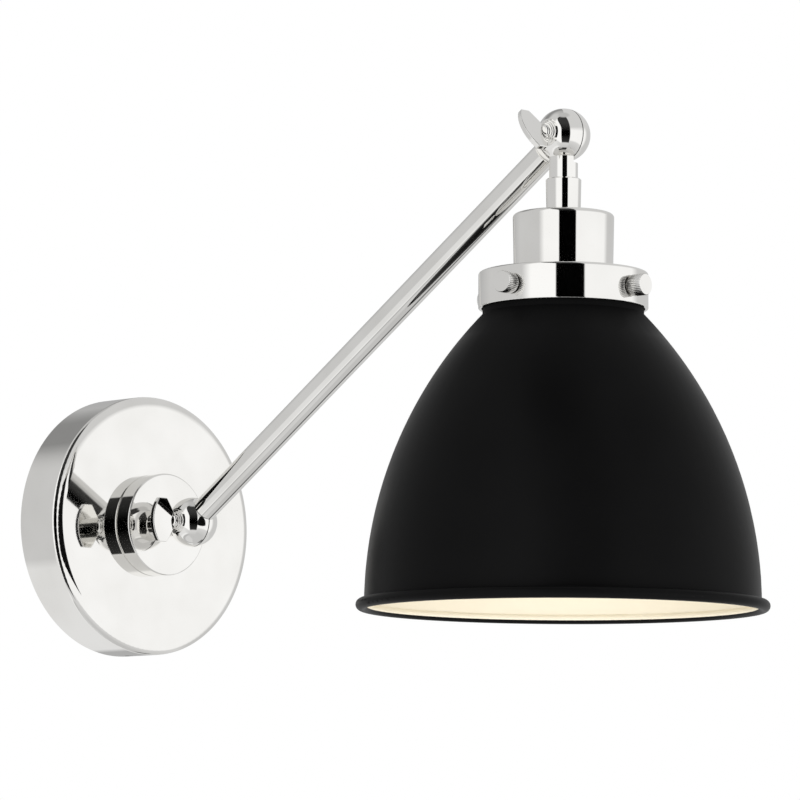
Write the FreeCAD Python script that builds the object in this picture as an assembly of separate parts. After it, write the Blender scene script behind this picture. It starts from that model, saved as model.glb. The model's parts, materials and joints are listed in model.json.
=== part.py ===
import FreeCAD, Part
import math
import os

from FreeCAD import Vector

# Articulating wall lamp. Millimetres, +Z up. The wall is the plane y = 0 and the lamp stands
# out from it towards -Y. The origin is the centre of the wall plate's back. Both knuckles
# turn about X, and their thumb keys are on the -X side.

# ---------------------------------------------------------------- driving dimensions
# Wall plate and what fixes it
PLATE_RADIUS = 63.5
PLATE_DEPTH = 26.0
PLATE_WALL = 1.5
PLATE_EDGE_INSET = 6.0
PLATE_EDGE_DROP = 3.0
STRAP_WIDTH = 22.0
STRAP_THICKNESS = 1.6
STRAP_BEND_RADIUS = 0.8
STRAP_TAB_DEPTH = 14.0
STRAP_TAB_CLEARANCE = 0.3
BOX_SCREW_SPACING = 88.9
BOX_SLOT_LENGTH = 12.0
BOX_SLOT_WIDTH = 5.0
GRUB_RADIUS = 2.0
GRUB_LENGTH = 7.0
GRUB_RECESS = 0.4
GRUB_SOCKET = 2.0
GRUB_SOCKET_DEPTH = 2.5
GRUB_HOLE_CLEARANCE = 0.1
GRUB_STANDOFF = 8.0
GROUND_SCREW_OFFSET = 16.0
GROUND_SCREW_RADIUS = 2.0
GROUND_HEAD_RADIUS = 4.0
GROUND_HEAD_HEIGHT = 2.6
GROUND_SLOT_WIDTH = 1.0
GROUND_SLOT_DEPTH = 1.2

# Swivelling hub
HUB_RADIUS = 25.0
HUB_DEPTH = 9.5
HUB_EDGE_RADIUS = 0.8
NIPPLE_RADIUS = 4.8
NIPPLE_BORE_RADIUS = 3.3
NIPPLE_TAIL = 1.5
HUB_WASHER_RADIUS = 11.0
HUB_WASHER_THICKNESS = 1.2
LOCKNUT_ACROSS_FLATS = 15.0
LOCKNUT_HEIGHT = 4.0

# Knuckles: two half balls with a friction washer between them. A fold angle is the smallest
# angle between the tube and the neck.
BALL_RADIUS = 12.05
WALL_NECK_LENGTH = 18.5
SEAM_WIDTH = 0.5
LOWER_FOLD_ANGLE = 100.0
UPPER_FOLD_ANGLE = 53.0
RELIEF_CLEARANCE = 0.35
NECK_RADIUS = 6.45
NECK_SOCKET_WALL = 0.8
KEY_FLAT_DEPTH = 1.75
FRICTION_INSET = 0.75
STUD_RADIUS = 2.5
STUD_END_WALL = 4.05
STUD_END_CLEARANCE = 1.0

# Arm
ARM_LENGTH = 295.0
ARM_ANGLE = 33.0
TUBE_RADIUS = 6.1
TUBE_WALL = 1.2
PLUG_CLEARANCE = 0.05
PLUG_LENGTH = 27.0

# Thumb keys, with reaches measured out from the ball's flat
KEY_WASHER_INSET = 0.65
KEY_WASHER_THICKNESS = 1.0
KEY_WASHER_EDGE_RADIUS = 0.3
KEY_BOSS_RADIUS = 3.3
KEY_BOSS_LENGTH = 2.6
KEY_BOSS_EDGE_RADIUS = 1.2
KEY_REACH = 16.0
KEY_SHOULDER_REACH = 12.2
KEY_TIP_REACH = 7.3
KEY_WAIST_REACH = 3.9
KEY_HALF_SPAN = 10.7
KEY_WAIST_HALF = 5.6
KEY_ROOT_HALF = 3.0
KEY_THICKNESS = 2.5
KEY_CORNER_RADIUS = 1.0
KEY_EDGE_RADIUS = 0.4
LOWER_KEY_LEAN = 0.0
UPPER_KEY_LEAN = 33.0

# Head, measured down from the centre of the upper ball
HEAD_NECK_LENGTH = 20.0
COUPLING_TOP_RADIUS = 8.0
COUPLING_FOOT_RADIUS = 7.7
COUPLING_LENGTH = 16.0
COUPLING_CHAMFER = 0.5
CUP_FOOT_RADIUS = 22.3
CUP_TAPER = 0.5
CUP_HEIGHT = 26.7
CUP_WALL = 1.4
CUP_EDGE_RADIUS = 1.8
HOLDER_RADIUS = 38.1
HOLDER_HEIGHT = 16.3
HOLDER_WALL = 1.4
HOLDER_EDGE_RADIUS = 1.2
HOLDER_LIP_RADIUS = 0.5

# Lampholder for a medium screw base
LAMPHOLDER_SIDE_CLEARANCE = 1.5
LAMPHOLDER_HOLE_CLEARANCE = 1.0
LAMPHOLDER_HEIGHT = 34.0
LAMPHOLDER_EDGE_RADIUS = 2.0
LAMPHOLDER_CAP_HEIGHT = 5.0
LAMPHOLDER_CAP_WALL = 1.2
LAMPHOLDER_CAP_INSET = 1.9
SHELL_BORE_RADIUS = 13.25
SHELL_WALL = 0.6
SHELL_THREAD_LENGTH = 24.4
SHELL_WELL_RADIUS = 9.0
SHELL_WELL_DEPTH = 3.6
SHELL_MOUTH_INSET = 1.0
SHELL_SEAT_CLEARANCE = 0.1
CONTACT_HOLE_RADIUS = 6.0
CONTACT_RADIUS = 3.5
CONTACT_HEIGHT = 3.0

# Shade: a spun bell whose wall is one arc, upright at the rim, under a straight neck
SHADE_WALL = 0.8
SHADE_NECK_CLEARANCE = 0.5
SHADE_TOP_CLEARANCE = 1.1
SHADE_SHOULDER_GAP = 0.15
SHADE_RIM_RADIUS = 88.35
SHADE_HEIGHT = 132.85
SHADE_NECK_BELOW = 2.45
BEAD_RADIUS = 2.6
BEAD_OFFSET = 1.15
GROOVE_DEPTH = 1.5
GROOVE_HALF_WIDTH = 3.6

# Thumbscrews that hold the shade in its holder
SCREW_COUNT = 4
SCREW_TURN = 6.4
SCREW_SETBACK = 8.8
SCREW_RADIUS = 2.0
SCREW_HEAD_RADIUS = 4.8
SCREW_HEAD_LENGTH = 6.7
SCREW_HEAD_CHAMFER = 0.25
SCREW_SHOULDER_RADIUS = 3.2
SCREW_SHOULDER_LENGTH = 0.4
SCREW_TIP_CHAMFER = 0.8
SCREW_TIP_CLEARANCE = 0.35

RUNNING_CLEARANCE = 0.06
OVERCUT = 1.0

# ---------------------------------------------------------------- derived places
OUTWARD = Vector(0, -1, 0)
INWARD = Vector(0, 1, 0)
UP = Vector(0, 0, 1)
DOWN = Vector(0, 0, -1)
KEY_SIDE = Vector(-1, 0, 0)
FAR_SIDE = Vector(1, 0, 0)
WALL_CENTRE = Vector(0, 0, 0)

arm_direction = Vector(0, -math.cos(math.radians(ARM_ANGLE)), math.sin(math.radians(ARM_ANGLE)))
ball_standoff = PLATE_DEPTH + HUB_DEPTH + WALL_NECK_LENGTH
lower_ball = WALL_CENTRE + OUTWARD * ball_standoff
upper_ball = lower_ball + arm_direction * ARM_LENGTH
hub_back = WALL_CENTRE + OUTWARD * PLATE_DEPTH
hub_face = hub_back + OUTWARD * HUB_DEPTH
plate_inside = WALL_CENTRE + OUTWARD * (PLATE_DEPTH - PLATE_WALL)

key_seat = BALL_RADIUS - KEY_FLAT_DEPTH
key_washer_radius = math.sqrt(BALL_RADIUS ** 2 - key_seat ** 2) - KEY_WASHER_INSET
friction_radius = BALL_RADIUS - FRICTION_INSET
stud_reach = BALL_RADIUS - STUD_END_WALL - STUD_END_CLEARANCE
bore_radius = STUD_RADIUS + RUNNING_CLEARANCE


def relief_radius(fold_angle):
    """Reach from the pivot past which the tube and the neck stay apart at a fold angle."""
    fold = math.radians(fold_angle)
    both = NECK_RADIUS ** 2 + TUBE_RADIUS ** 2 + 2 * NECK_RADIUS * TUBE_RADIUS * math.cos(fold)
    return max(BALL_RADIUS, math.sqrt(both) / math.sin(fold)) + RELIEF_CLEARANCE


lower_relief = relief_radius(LOWER_FOLD_ANGLE)
upper_relief = relief_radius(UPPER_FOLD_ANGLE)


def below_ball(drop):
    """Point on the head's axis, a drop below the upper ball's centre."""
    return upper_ball + DOWN * drop


coupling_foot_drop = HEAD_NECK_LENGTH + COUPLING_LENGTH
holder_top_drop = coupling_foot_drop + CUP_HEIGHT
holder_foot_drop = holder_top_drop + HOLDER_HEIGHT
screw_drop = holder_top_drop + SCREW_SETBACK
cup_inside_drop = coupling_foot_drop + CUP_WALL
cap_drop = cup_inside_drop + LOCKNUT_HEIGHT
lampholder_top_drop = cap_drop + LAMPHOLDER_CAP_HEIGHT
lampholder_foot_drop = lampholder_top_drop + LAMPHOLDER_HEIGHT
lampholder_radius = CUP_FOOT_RADIUS - CUP_WALL - LAMPHOLDER_SIDE_CLEARANCE
shell_foot_drop = lampholder_foot_drop - SHELL_MOUTH_INSET
shell_step_drop = shell_foot_drop - SHELL_THREAD_LENGTH - SHELL_WALL
shell_top_drop = shell_step_drop - SHELL_WELL_DEPTH

shade_neck_radius = HOLDER_RADIUS - HOLDER_WALL - SHADE_NECK_CLEARANCE
shade_top_drop = holder_top_drop + HOLDER_WALL + SHADE_TOP_CLEARANCE
shade_rim_drop = holder_foot_drop + SHADE_SHOULDER_GAP + SHADE_HEIGHT
shade_flare = SHADE_RIM_RADIUS - shade_neck_radius
bell_height = SHADE_HEIGHT - SHADE_NECK_BELOW
shade_arc_radius = (shade_flare ** 2 + bell_height ** 2) / (2 * shade_flare)


# ---------------------------------------------------------------- shape helpers
def cylinder(radius, length, start, direction):
    return Part.makeCylinder(radius, length, start, direction)


def ring(outer_radius, inner_radius, length, start, direction):
    bore = cylinder(inner_radius, length + 2 * OVERCUT, start - direction * OVERCUT, direction)
    return cylinder(outer_radius, length, start, direction).cut(bore)


def rim_edges(shape, centre):
    """Circular edges of a turned shape that are centred on one point of its axis."""
    return [edge for edge in shape.Edges
            if isinstance(edge.Curve, Part.Circle) and (edge.Curve.Center - centre).Length < 1e-6]


def drum(near_radius, far_radius, length, edge_radius, start, direction):
    """Turned drum, straight or slightly tapered, with its far rim rounded."""
    if near_radius == far_radius:
        body = cylinder(near_radius, length, start, direction)
    else:
        body = Part.makeCone(near_radius, far_radius, length, start, direction)
    return body.makeFillet(edge_radius, rim_edges(body, start + direction * length))


def turned(edges, axis_point, axis):
    """Solid of revolution of a closed outline."""
    outline = Part.Face(Part.Wire(edges))
    return outline.revolve(axis_point, axis, 360)


def hexagon_prism(across_flats, height, start, direction):
    corner_radius = across_flats / math.sqrt(3)
    corners = [Vector(corner_radius * math.cos(math.radians(60 * i)),
                      corner_radius * math.sin(math.radians(60 * i)), 0) for i in range(7)]
    prism = Part.Face(Part.makePolygon(corners)).extrude(Vector(0, 0, height))
    prism.Placement = FreeCAD.Placement(start, FreeCAD.Rotation(UP, direction))
    return prism


def locknut(start, direction):
    nut = hexagon_prism(LOCKNUT_ACROSS_FLATS, LOCKNUT_HEIGHT, start, direction)
    bore = cylinder(NIPPLE_RADIUS, LOCKNUT_HEIGHT + 2 * OVERCUT, start - direction * OVERCUT,
                    direction)
    return nut.cut(bore)


def save(name, shape):
    shape.exportStep("parts/" + name + ".step")


# ---------------------------------------------------------------- wall plate group
def plate_drum(inset):
    """Drum on the wall, smaller all round by an inset; its front rim is a quarter ellipse."""
    edge_centre = Vector(PLATE_RADIUS - PLATE_EDGE_INSET, PLATE_EDGE_DROP - PLATE_DEPTH, 0)
    side_end = edge_centre + FAR_SIDE * (PLATE_EDGE_INSET - inset)
    face_end = edge_centre + OUTWARD * (PLATE_EDGE_DROP - inset)
    face_centre = OUTWARD * (PLATE_DEPTH - inset)
    foot = FAR_SIDE * (PLATE_RADIUS - inset)
    soft_edge = Part.ArcOfEllipse(Part.Ellipse(side_end, face_end, edge_centre), 0, math.pi / 2)
    edges = [Part.makeLine(WALL_CENTRE, foot), Part.makeLine(foot, side_end), soft_edge.toShape(),
             Part.makeLine(face_end, face_centre), Part.makeLine(face_centre, WALL_CENTRE)]
    return turned(edges, WALL_CENTRE, OUTWARD)


def wall_plate():
    """Shallow dish with a soft front edge, open towards the wall."""
    dish = plate_drum(0)
    hollow = plate_drum(PLATE_WALL)
    nipple_hole = cylinder(NIPPLE_RADIUS + RUNNING_CLEARANCE, PLATE_DEPTH + OVERCUT,
                           WALL_CENTRE, OUTWARD)
    grub_holes = cylinder(GRUB_RADIUS + GRUB_HOLE_CLEARANCE, 2 * (PLATE_RADIUS + OVERCUT),
                          Vector(0, -GRUB_STANDOFF, -PLATE_RADIUS - OVERCUT), UP)
    return dish.cut([hollow, nipple_hole, grub_holes])


def strap_half_height():
    """Height at which the tabs' outer corners stand clear of the plate's round wall."""
    reach = math.sqrt((PLATE_RADIUS - PLATE_WALL) ** 2 - (STRAP_WIDTH / 2) ** 2)
    return reach - STRAP_TAB_CLEARANCE


def strap_slot(height):
    """Cutter for one upright slot, on the nominal place of a box screw."""
    radius = BOX_SLOT_WIDTH / 2
    run = BOX_SLOT_LENGTH / 2 - radius
    depth = STRAP_THICKNESS + 2 * OVERCUT
    web = Part.makeBox(BOX_SLOT_WIDTH, depth, 2 * run, Vector(-radius, OVERCUT - depth, height - run))
    ends = [cylinder(radius, depth, Vector(0, OVERCUT, height + end), OUTWARD) for end in (-run, run)]
    return web.fuse(ends)


def mounting_strap():
    """Steel strap across the wiring box, with a tapped tab turned out at each end."""
    top = strap_half_height()
    inside = top - STRAP_THICKNESS
    outline = [(0, -top), (0, top), (-STRAP_TAB_DEPTH, top), (-STRAP_TAB_DEPTH, inside),
               (-STRAP_THICKNESS, inside), (-STRAP_THICKNESS, -inside),
               (-STRAP_TAB_DEPTH, -inside), (-STRAP_TAB_DEPTH, -top), (0, -top)]
    wire = Part.makePolygon([Vector(-STRAP_WIDTH / 2, y, z) for y, z in outline])
    strap = Part.Face(wire).extrude(Vector(STRAP_WIDTH, 0, 0))

    def bend_edges(y, z):
        return [edge for edge in strap.Edges
                if abs(edge.CenterOfMass.x) < 1e-6
                and abs(edge.CenterOfMass.y - y) < 1e-6
                and abs(abs(edge.CenterOfMass.z) - z) < 1e-6]

    outer_bends = bend_edges(0, top)
    strap = strap.makeFillet(STRAP_BEND_RADIUS + STRAP_THICKNESS, outer_bends)
    inner_bends = bend_edges(-STRAP_THICKNESS, inside)
    strap = strap.makeFillet(STRAP_BEND_RADIUS, inner_bends)
    cutters = [strap_slot(side * BOX_SCREW_SPACING / 2) for side in (-1, 1)]
    cutters.append(cylinder(GRUB_RADIUS, 2 * (top + OVERCUT),
                            Vector(0, -GRUB_STANDOFF, -top - OVERCUT), UP))
    cutters.append(cylinder(GROUND_SCREW_RADIUS, STRAP_THICKNESS + 2 * OVERCUT,
                            Vector(0, OVERCUT, GROUND_SCREW_OFFSET), OUTWARD))
    return strap.cut(cutters)


def grub_screw(direction):
    """Headless socket screw, wound out of the tab into the plate's side hole."""
    start = Vector(0, -GRUB_STANDOFF, 0) + direction * (PLATE_RADIUS - GRUB_RECESS)
    body = cylinder(GRUB_RADIUS, GRUB_LENGTH, start, -direction)
    return body.cut(hexagon_prism(GRUB_SOCKET, GRUB_SOCKET_DEPTH, start, -direction))


def plate_grub_screws():
    return Part.makeCompound([grub_screw(UP), grub_screw(DOWN)])


def ground_screw():
    seat = Vector(0, -STRAP_THICKNESS, GROUND_SCREW_OFFSET)
    shank = cylinder(GROUND_SCREW_RADIUS, STRAP_THICKNESS, seat, INWARD)
    head = cylinder(GROUND_HEAD_RADIUS, GROUND_HEAD_HEIGHT, seat, OUTWARD)
    slot = Part.makeBox(2 * (GROUND_HEAD_RADIUS + OVERCUT), GROUND_SLOT_DEPTH, GROUND_SLOT_WIDTH)
    slot.translate(seat + Vector(-GROUND_HEAD_RADIUS - OVERCUT, -GROUND_HEAD_HEIGHT,
                                 -GROUND_SLOT_WIDTH / 2))
    return shank.fuse(head).cut(slot)


# ---------------------------------------------------------------- swivelling hub
def hub_disc():
    """Round disc with both rims rounded, bored for its nipple."""
    disc = cylinder(HUB_RADIUS, HUB_DEPTH, hub_back, OUTWARD)
    disc = disc.makeFillet(HUB_EDGE_RADIUS, rim_edges(disc, hub_back) + rim_edges(disc, hub_face))
    bore = cylinder(NIPPLE_RADIUS, HUB_DEPTH + 2 * OVERCUT, hub_back + INWARD * OVERCUT, OUTWARD)
    return disc.cut(bore)


def hub_nipple():
    """Hollow threaded pivot, from the knuckle's neck to behind the plate's locknut."""
    front = ball_standoff - lower_relief - NECK_SOCKET_WALL
    back = PLATE_DEPTH - PLATE_WALL - HUB_WASHER_THICKNESS - LOCKNUT_HEIGHT - NIPPLE_TAIL
    return ring(NIPPLE_RADIUS, NIPPLE_BORE_RADIUS, front - back, Vector(0, -back, 0), OUTWARD)


def hub_washer():
    return ring(HUB_WASHER_RADIUS, NIPPLE_RADIUS, HUB_WASHER_THICKNESS, plate_inside, INWARD)


def hub_locknut():
    return locknut(plate_inside + INWARD * HUB_WASHER_THICKNESS, INWARD)


# ---------------------------------------------------------------- knuckles
def beyond_seam(centre, side):
    """Everything on one side of a knuckle, up to the friction washer's face."""
    size = 4 * BALL_RADIUS
    corner = Vector(0 if side > 0 else -size, -size / 2, -size / 2)
    block = Part.makeBox(size, size, size, corner)
    block.translate(centre + FAR_SIDE * (side * SEAM_WIDTH / 2))
    return block


def ball(centre, radius):
    """Whole ball, with its poles on the pivot's axis."""
    return Part.makeSphere(radius, centre, FAR_SIDE)


def relief(centre, side, radius):
    """Round clearance on one side and across the seam, where the other half's ball and stem sweep."""
    return ball(centre, radius).cut(beyond_seam(centre, -side))


def near_half(centre, neck_direction, neck_length, clear_radius):
    """Half ball on the key side with its neck, bored for the key's stud."""
    seat_plane = centre + KEY_SIDE * key_seat
    socket_start = centre + neck_direction * (clear_radius + NECK_SOCKET_WALL)
    half = ball(centre, BALL_RADIUS).common(beyond_seam(centre, -1))
    half = half.cut(cylinder(BALL_RADIUS, BALL_RADIUS, seat_plane, KEY_SIDE))
    neck = cylinder(NECK_RADIUS, neck_length, centre, neck_direction)
    neck = neck.cut(relief(centre, 1, clear_radius))
    stud_bore = cylinder(bore_radius, BALL_RADIUS + OVERCUT, centre, KEY_SIDE)
    nipple_socket = cylinder(NIPPLE_RADIUS, neck_length, socket_start, neck_direction)
    return half.fuse(neck).cut([stud_bore, nipple_socket])


def far_half(centre, tube_direction, clear_radius):
    """Half ball away from the key, tapped for the stud, with the plug that fills the tube's end."""
    plug_radius = TUBE_RADIUS - TUBE_WALL - PLUG_CLEARANCE
    half = ball(centre, BALL_RADIUS).common(beyond_seam(centre, 1))
    plug = cylinder(plug_radius, PLUG_LENGTH, centre, tube_direction)
    plug = plug.cut(relief(centre, -1, clear_radius))
    stud_hole = cylinder(bore_radius, stud_reach + STUD_END_CLEARANCE, centre, FAR_SIDE)
    return half.fuse(plug).cut(stud_hole)


def friction_washer(centre):
    start = centre + KEY_SIDE * (SEAM_WIDTH / 2)
    return ring(friction_radius, bore_radius, SEAM_WIDTH, start, FAR_SIDE)


def arm_tube():
    """Straight tube, coped over the far halves and relieved round the near halves."""
    tube = ring(TUBE_RADIUS, TUBE_RADIUS - TUBE_WALL, ARM_LENGTH, lower_ball, arm_direction)
    copes = []
    for centre, clear_radius in ((lower_ball, lower_relief), (upper_ball, upper_relief)):
        copes.append(ball(centre, BALL_RADIUS))
        copes.append(relief(centre, -1, clear_radius))
    return tube.cut(copes)


# ---------------------------------------------------------------- thumb keys
def key_wing():
    """Flat wing in the XZ plane: a curved outer edge and two tips that draw in to the boss."""
    def point(reach, height):
        return Vector(-key_seat - reach, -KEY_THICKNESS / 2, height)

    root_reach = KEY_WASHER_THICKNESS + KEY_BOSS_LENGTH / 2
    outer_edge = Part.Arc(point(KEY_SHOULDER_REACH, KEY_HALF_SPAN), point(KEY_REACH, 0),
                          point(KEY_SHOULDER_REACH, -KEY_HALF_SPAN)).toShape()
    edges = [outer_edge]
    for side in (-1, 1):
        shoulder = point(KEY_SHOULDER_REACH, side * KEY_HALF_SPAN)
        tip = point(KEY_TIP_REACH, side * KEY_HALF_SPAN)
        waist = point(KEY_WAIST_REACH, side * KEY_WAIST_HALF)
        root = point(root_reach, side * KEY_ROOT_HALF)
        edges.append(Part.makeLine(shoulder, tip))
        edges.append(Part.Arc(tip, waist, root).toShape())
    edges.append(Part.makeLine(point(root_reach, -KEY_ROOT_HALF), point(root_reach, KEY_ROOT_HALF)))
    wing = Part.Face(Part.Wire(Part.__sortEdges__(edges))).extrude(Vector(0, KEY_THICKNESS, 0))
    corners = [edge for edge in wing.Edges
               if abs(edge.CenterOfMass.y) < 1e-6
               and abs(abs(edge.CenterOfMass.z) - KEY_HALF_SPAN) < 1e-6]
    wing = wing.makeFillet(KEY_CORNER_RADIUS, corners)
    outline = [edge for edge in wing.Edges
               if abs(abs(edge.CenterOfMass.y) - KEY_THICKNESS / 2) < 1e-6
               and edge.CenterOfMass.x < -key_seat - root_reach - 1e-3]
    return wing.makeFillet(KEY_EDGE_RADIUS, outline)


def thumb_key(centre, lean):
    """Wing, boss and threaded stud in one piece; the lean is from upright towards the wall."""
    boss_foot = Vector(-key_seat - KEY_WASHER_THICKNESS, 0, 0)
    boss = drum(KEY_BOSS_RADIUS, KEY_BOSS_RADIUS, KEY_BOSS_LENGTH, KEY_BOSS_EDGE_RADIUS,
                boss_foot, KEY_SIDE)
    stud = cylinder(STUD_RADIUS, key_seat + KEY_WASHER_THICKNESS + stud_reach, boss_foot, FAR_SIDE)
    key = key_wing().fuse([boss, stud])
    key.rotate(Vector(0, 0, 0), FAR_SIDE, -lean)
    key.translate(centre)
    return key


def key_washer(centre):
    """Round washer on the near half's flat, with its outer rim rounded."""
    seat = centre + KEY_SIDE * key_seat
    disc = drum(key_washer_radius, key_washer_radius, KEY_WASHER_THICKNESS, KEY_WASHER_EDGE_RADIUS,
                seat, KEY_SIDE)
    bore = cylinder(bore_radius, KEY_WASHER_THICKNESS + 2 * OVERCUT, seat + FAR_SIDE * OVERCUT, KEY_SIDE)
    return disc.cut(bore)


# ---------------------------------------------------------------- head
def stem_coupling():
    """Slightly tapered sleeve between the neck and the cup."""
    foot = below_ball(coupling_foot_drop)
    body = Part.makeCone(COUPLING_FOOT_RADIUS, COUPLING_TOP_RADIUS, COUPLING_LENGTH, foot, UP)
    body = body.makeChamfer(COUPLING_CHAMFER, rim_edges(body, below_ball(HEAD_NECK_LENGTH)))
    return body.cut(cylinder(NIPPLE_RADIUS, COUPLING_LENGTH + 2 * OVERCUT, foot + DOWN * OVERCUT, UP))


def head_nipple():
    """Hollow threaded stem, from the neck down through the lampholder's cap."""
    foot_drop = cap_drop + LAMPHOLDER_CAP_WALL + NIPPLE_TAIL
    length = foot_drop - upper_relief - NECK_SOCKET_WALL
    return ring(NIPPLE_RADIUS, NIPPLE_BORE_RADIUS, length, below_ball(foot_drop), UP)


def socket_cup():
    foot = below_ball(holder_top_drop)
    top_radius = CUP_FOOT_RADIUS + CUP_TAPER
    outside = drum(CUP_FOOT_RADIUS, top_radius, CUP_HEIGHT, CUP_EDGE_RADIUS, foot, UP)
    inside = drum(CUP_FOOT_RADIUS - CUP_WALL, top_radius - CUP_WALL, CUP_HEIGHT - CUP_WALL,
                  CUP_EDGE_RADIUS - CUP_WALL, foot, UP)
    return outside.cut([inside, cylinder(NIPPLE_RADIUS, CUP_HEIGHT + OVERCUT, foot, UP)])


def cup_locknut():
    return locknut(below_ball(cup_inside_drop), DOWN)


def screw_direction(index):
    angle = math.radians(360 / SCREW_COUNT * index + SCREW_TURN)
    return Vector(math.cos(angle), math.sin(angle), 0)


def shade_holder():
    """Shallow gallery under the cup, tapped round its side for the thumbscrews."""
    foot = below_ball(holder_foot_drop)
    inner_radius = HOLDER_RADIUS - HOLDER_WALL
    outside = drum(HOLDER_RADIUS, HOLDER_RADIUS, HOLDER_HEIGHT, HOLDER_EDGE_RADIUS, foot, UP)
    outside = outside.makeFillet(HOLDER_LIP_RADIUS, rim_edges(outside, foot))
    cutters = [cylinder(inner_radius, HOLDER_HEIGHT - HOLDER_WALL, foot, UP),
               cylinder(lampholder_radius + LAMPHOLDER_HOLE_CLEARANCE, HOLDER_HEIGHT + OVERCUT, foot, UP)]
    for index in range(SCREW_COUNT):
        cutters.append(cylinder(SCREW_RADIUS + RUNNING_CLEARANCE, HOLDER_RADIUS + OVERCUT,
                                below_ball(screw_drop), screw_direction(index)))
    return outside.cut(cutters)


def shade_screw(index):
    """Round-headed thumbscrew with its tip in the groove of the shade's neck."""
    direction = screw_direction(index)
    centre = below_ball(screw_drop)
    tip = centre + direction * (shade_neck_radius - GROOVE_DEPTH + SCREW_TIP_CLEARANCE)
    seat = centre + direction * (HOLDER_RADIUS + SCREW_TIP_CLEARANCE)
    head_foot = seat + direction * SCREW_SHOULDER_LENGTH
    shank = cylinder(SCREW_RADIUS, (head_foot - tip).Length, tip, direction)
    shank = shank.makeChamfer(SCREW_TIP_CHAMFER, rim_edges(shank, tip))
    shoulder = cylinder(SCREW_SHOULDER_RADIUS, SCREW_SHOULDER_LENGTH, seat, direction)
    head = cylinder(SCREW_HEAD_RADIUS, SCREW_HEAD_LENGTH, head_foot, direction)
    rims = rim_edges(head, head_foot) + rim_edges(head, head_foot + direction * SCREW_HEAD_LENGTH)
    return head.makeChamfer(SCREW_HEAD_CHAMFER, rims).fuse([shank, shoulder])


# ---------------------------------------------------------------- lampholder
def lampholder_cap():
    """Shallow metal cap that joins the lampholder to the nipple."""
    foot = below_ball(lampholder_top_drop)
    radius = lampholder_radius - LAMPHOLDER_CAP_INSET
    cap = drum(radius, radius, LAMPHOLDER_CAP_HEIGHT, LAMPHOLDER_CAP_WALL, foot, UP)
    hollow = cylinder(radius - LAMPHOLDER_CAP_WALL, LAMPHOLDER_CAP_HEIGHT - LAMPHOLDER_CAP_WALL,
                      foot, UP)
    return cap.cut([hollow, cylinder(NIPPLE_RADIUS, LAMPHOLDER_CAP_HEIGHT + OVERCUT, foot, UP)])


def shell_block(grow):
    """Stepped drum in the lampholder: the threaded length and the narrower well above it."""
    length = shell_foot_drop - shell_step_drop
    thread = cylinder(SHELL_BORE_RADIUS + SHELL_WALL + grow, length, below_ball(shell_step_drop), DOWN)
    well = cylinder(SHELL_WELL_RADIUS + SHELL_WALL + grow, SHELL_WELL_DEPTH,
                    below_ball(shell_top_drop), DOWN)
    return thread.fuse(well)


def lampholder_body():
    """Ceramic body, bored from below for the screw shell."""
    top = below_ball(lampholder_top_drop)
    body = drum(lampholder_radius, lampholder_radius, LAMPHOLDER_HEIGHT, LAMPHOLDER_EDGE_RADIUS,
                top, DOWN)
    room = SHELL_BORE_RADIUS + SHELL_WALL + SHELL_SEAT_CLEARANCE
    mouth = cylinder(room, SHELL_MOUTH_INSET + OVERCUT, below_ball(shell_foot_drop), DOWN)
    return body.cut([shell_block(SHELL_SEAT_CLEARANCE), mouth])


def screw_shell():
    """Thin metal shell for the bulb's screw base, with a well round the centre contact."""
    bore = cylinder(SHELL_BORE_RADIUS, SHELL_THREAD_LENGTH + OVERCUT,
                    below_ball(shell_step_drop + SHELL_WALL), DOWN)
    well = cylinder(SHELL_WELL_RADIUS, SHELL_WELL_DEPTH + OVERCUT,
                    below_ball(shell_top_drop + SHELL_WALL), DOWN)
    contact_hole = cylinder(CONTACT_HOLE_RADIUS, SHELL_WALL + OVERCUT, below_ball(shell_top_drop), DOWN)
    return shell_block(0).cut([bore, well, contact_hole])


def centre_contact():
    return cylinder(CONTACT_RADIUS, CONTACT_HEIGHT, below_ball(shell_top_drop), DOWN)


# ---------------------------------------------------------------- shade
def shade_skin(inset):
    """Corner points and edges of the bell's section from the neck's top to the rim, on +X."""
    neck = shade_neck_radius - inset
    rim = SHADE_RIM_RADIUS - inset
    arc_radius = shade_arc_radius - inset
    arc_centre = SHADE_RIM_RADIUS - shade_arc_radius

    def point(radius, drop):
        return below_ball(drop) + FAR_SIDE * radius

    def bell(radius):
        return shade_rim_drop - math.sqrt(arc_radius ** 2 - (radius - arc_centre) ** 2)

    middle = (neck + rim) / 2
    top = point(neck, shade_top_drop)
    groove_top = point(neck, screw_drop - GROOVE_HALF_WIDTH)
    groove_floor = point(neck - GROOVE_DEPTH, screw_drop)
    groove_foot = point(neck, screw_drop + GROOVE_HALF_WIDTH)
    shoulder = point(neck, bell(neck))
    foot = point(rim, shade_rim_drop)
    edges = [Part.makeLine(top, groove_top),
             Part.Arc(groove_top, groove_floor, groove_foot).toShape(),
             Part.makeLine(groove_foot, shoulder),
             Part.Arc(shoulder, point(middle, bell(middle)), foot).toShape()]
    return top, foot, edges


def shade():
    """Spun bell with a grooved neck and a bead rolled outwards at the rim."""
    outer_top, outer_foot, outer_edges = shade_skin(0)
    inner_top, inner_foot, inner_edges = shade_skin(SHADE_WALL)
    ends = [Part.makeLine(outer_top, inner_top), Part.makeLine(outer_foot, inner_foot)]
    section = Part.__sortEdges__(outer_edges + inner_edges + ends)
    bell = turned(section, upper_ball, UP)
    bead = Part.makeTorus(SHADE_RIM_RADIUS + BEAD_OFFSET, BEAD_RADIUS, below_ball(shade_rim_drop), UP)
    return bell.fuse(bead)


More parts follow.
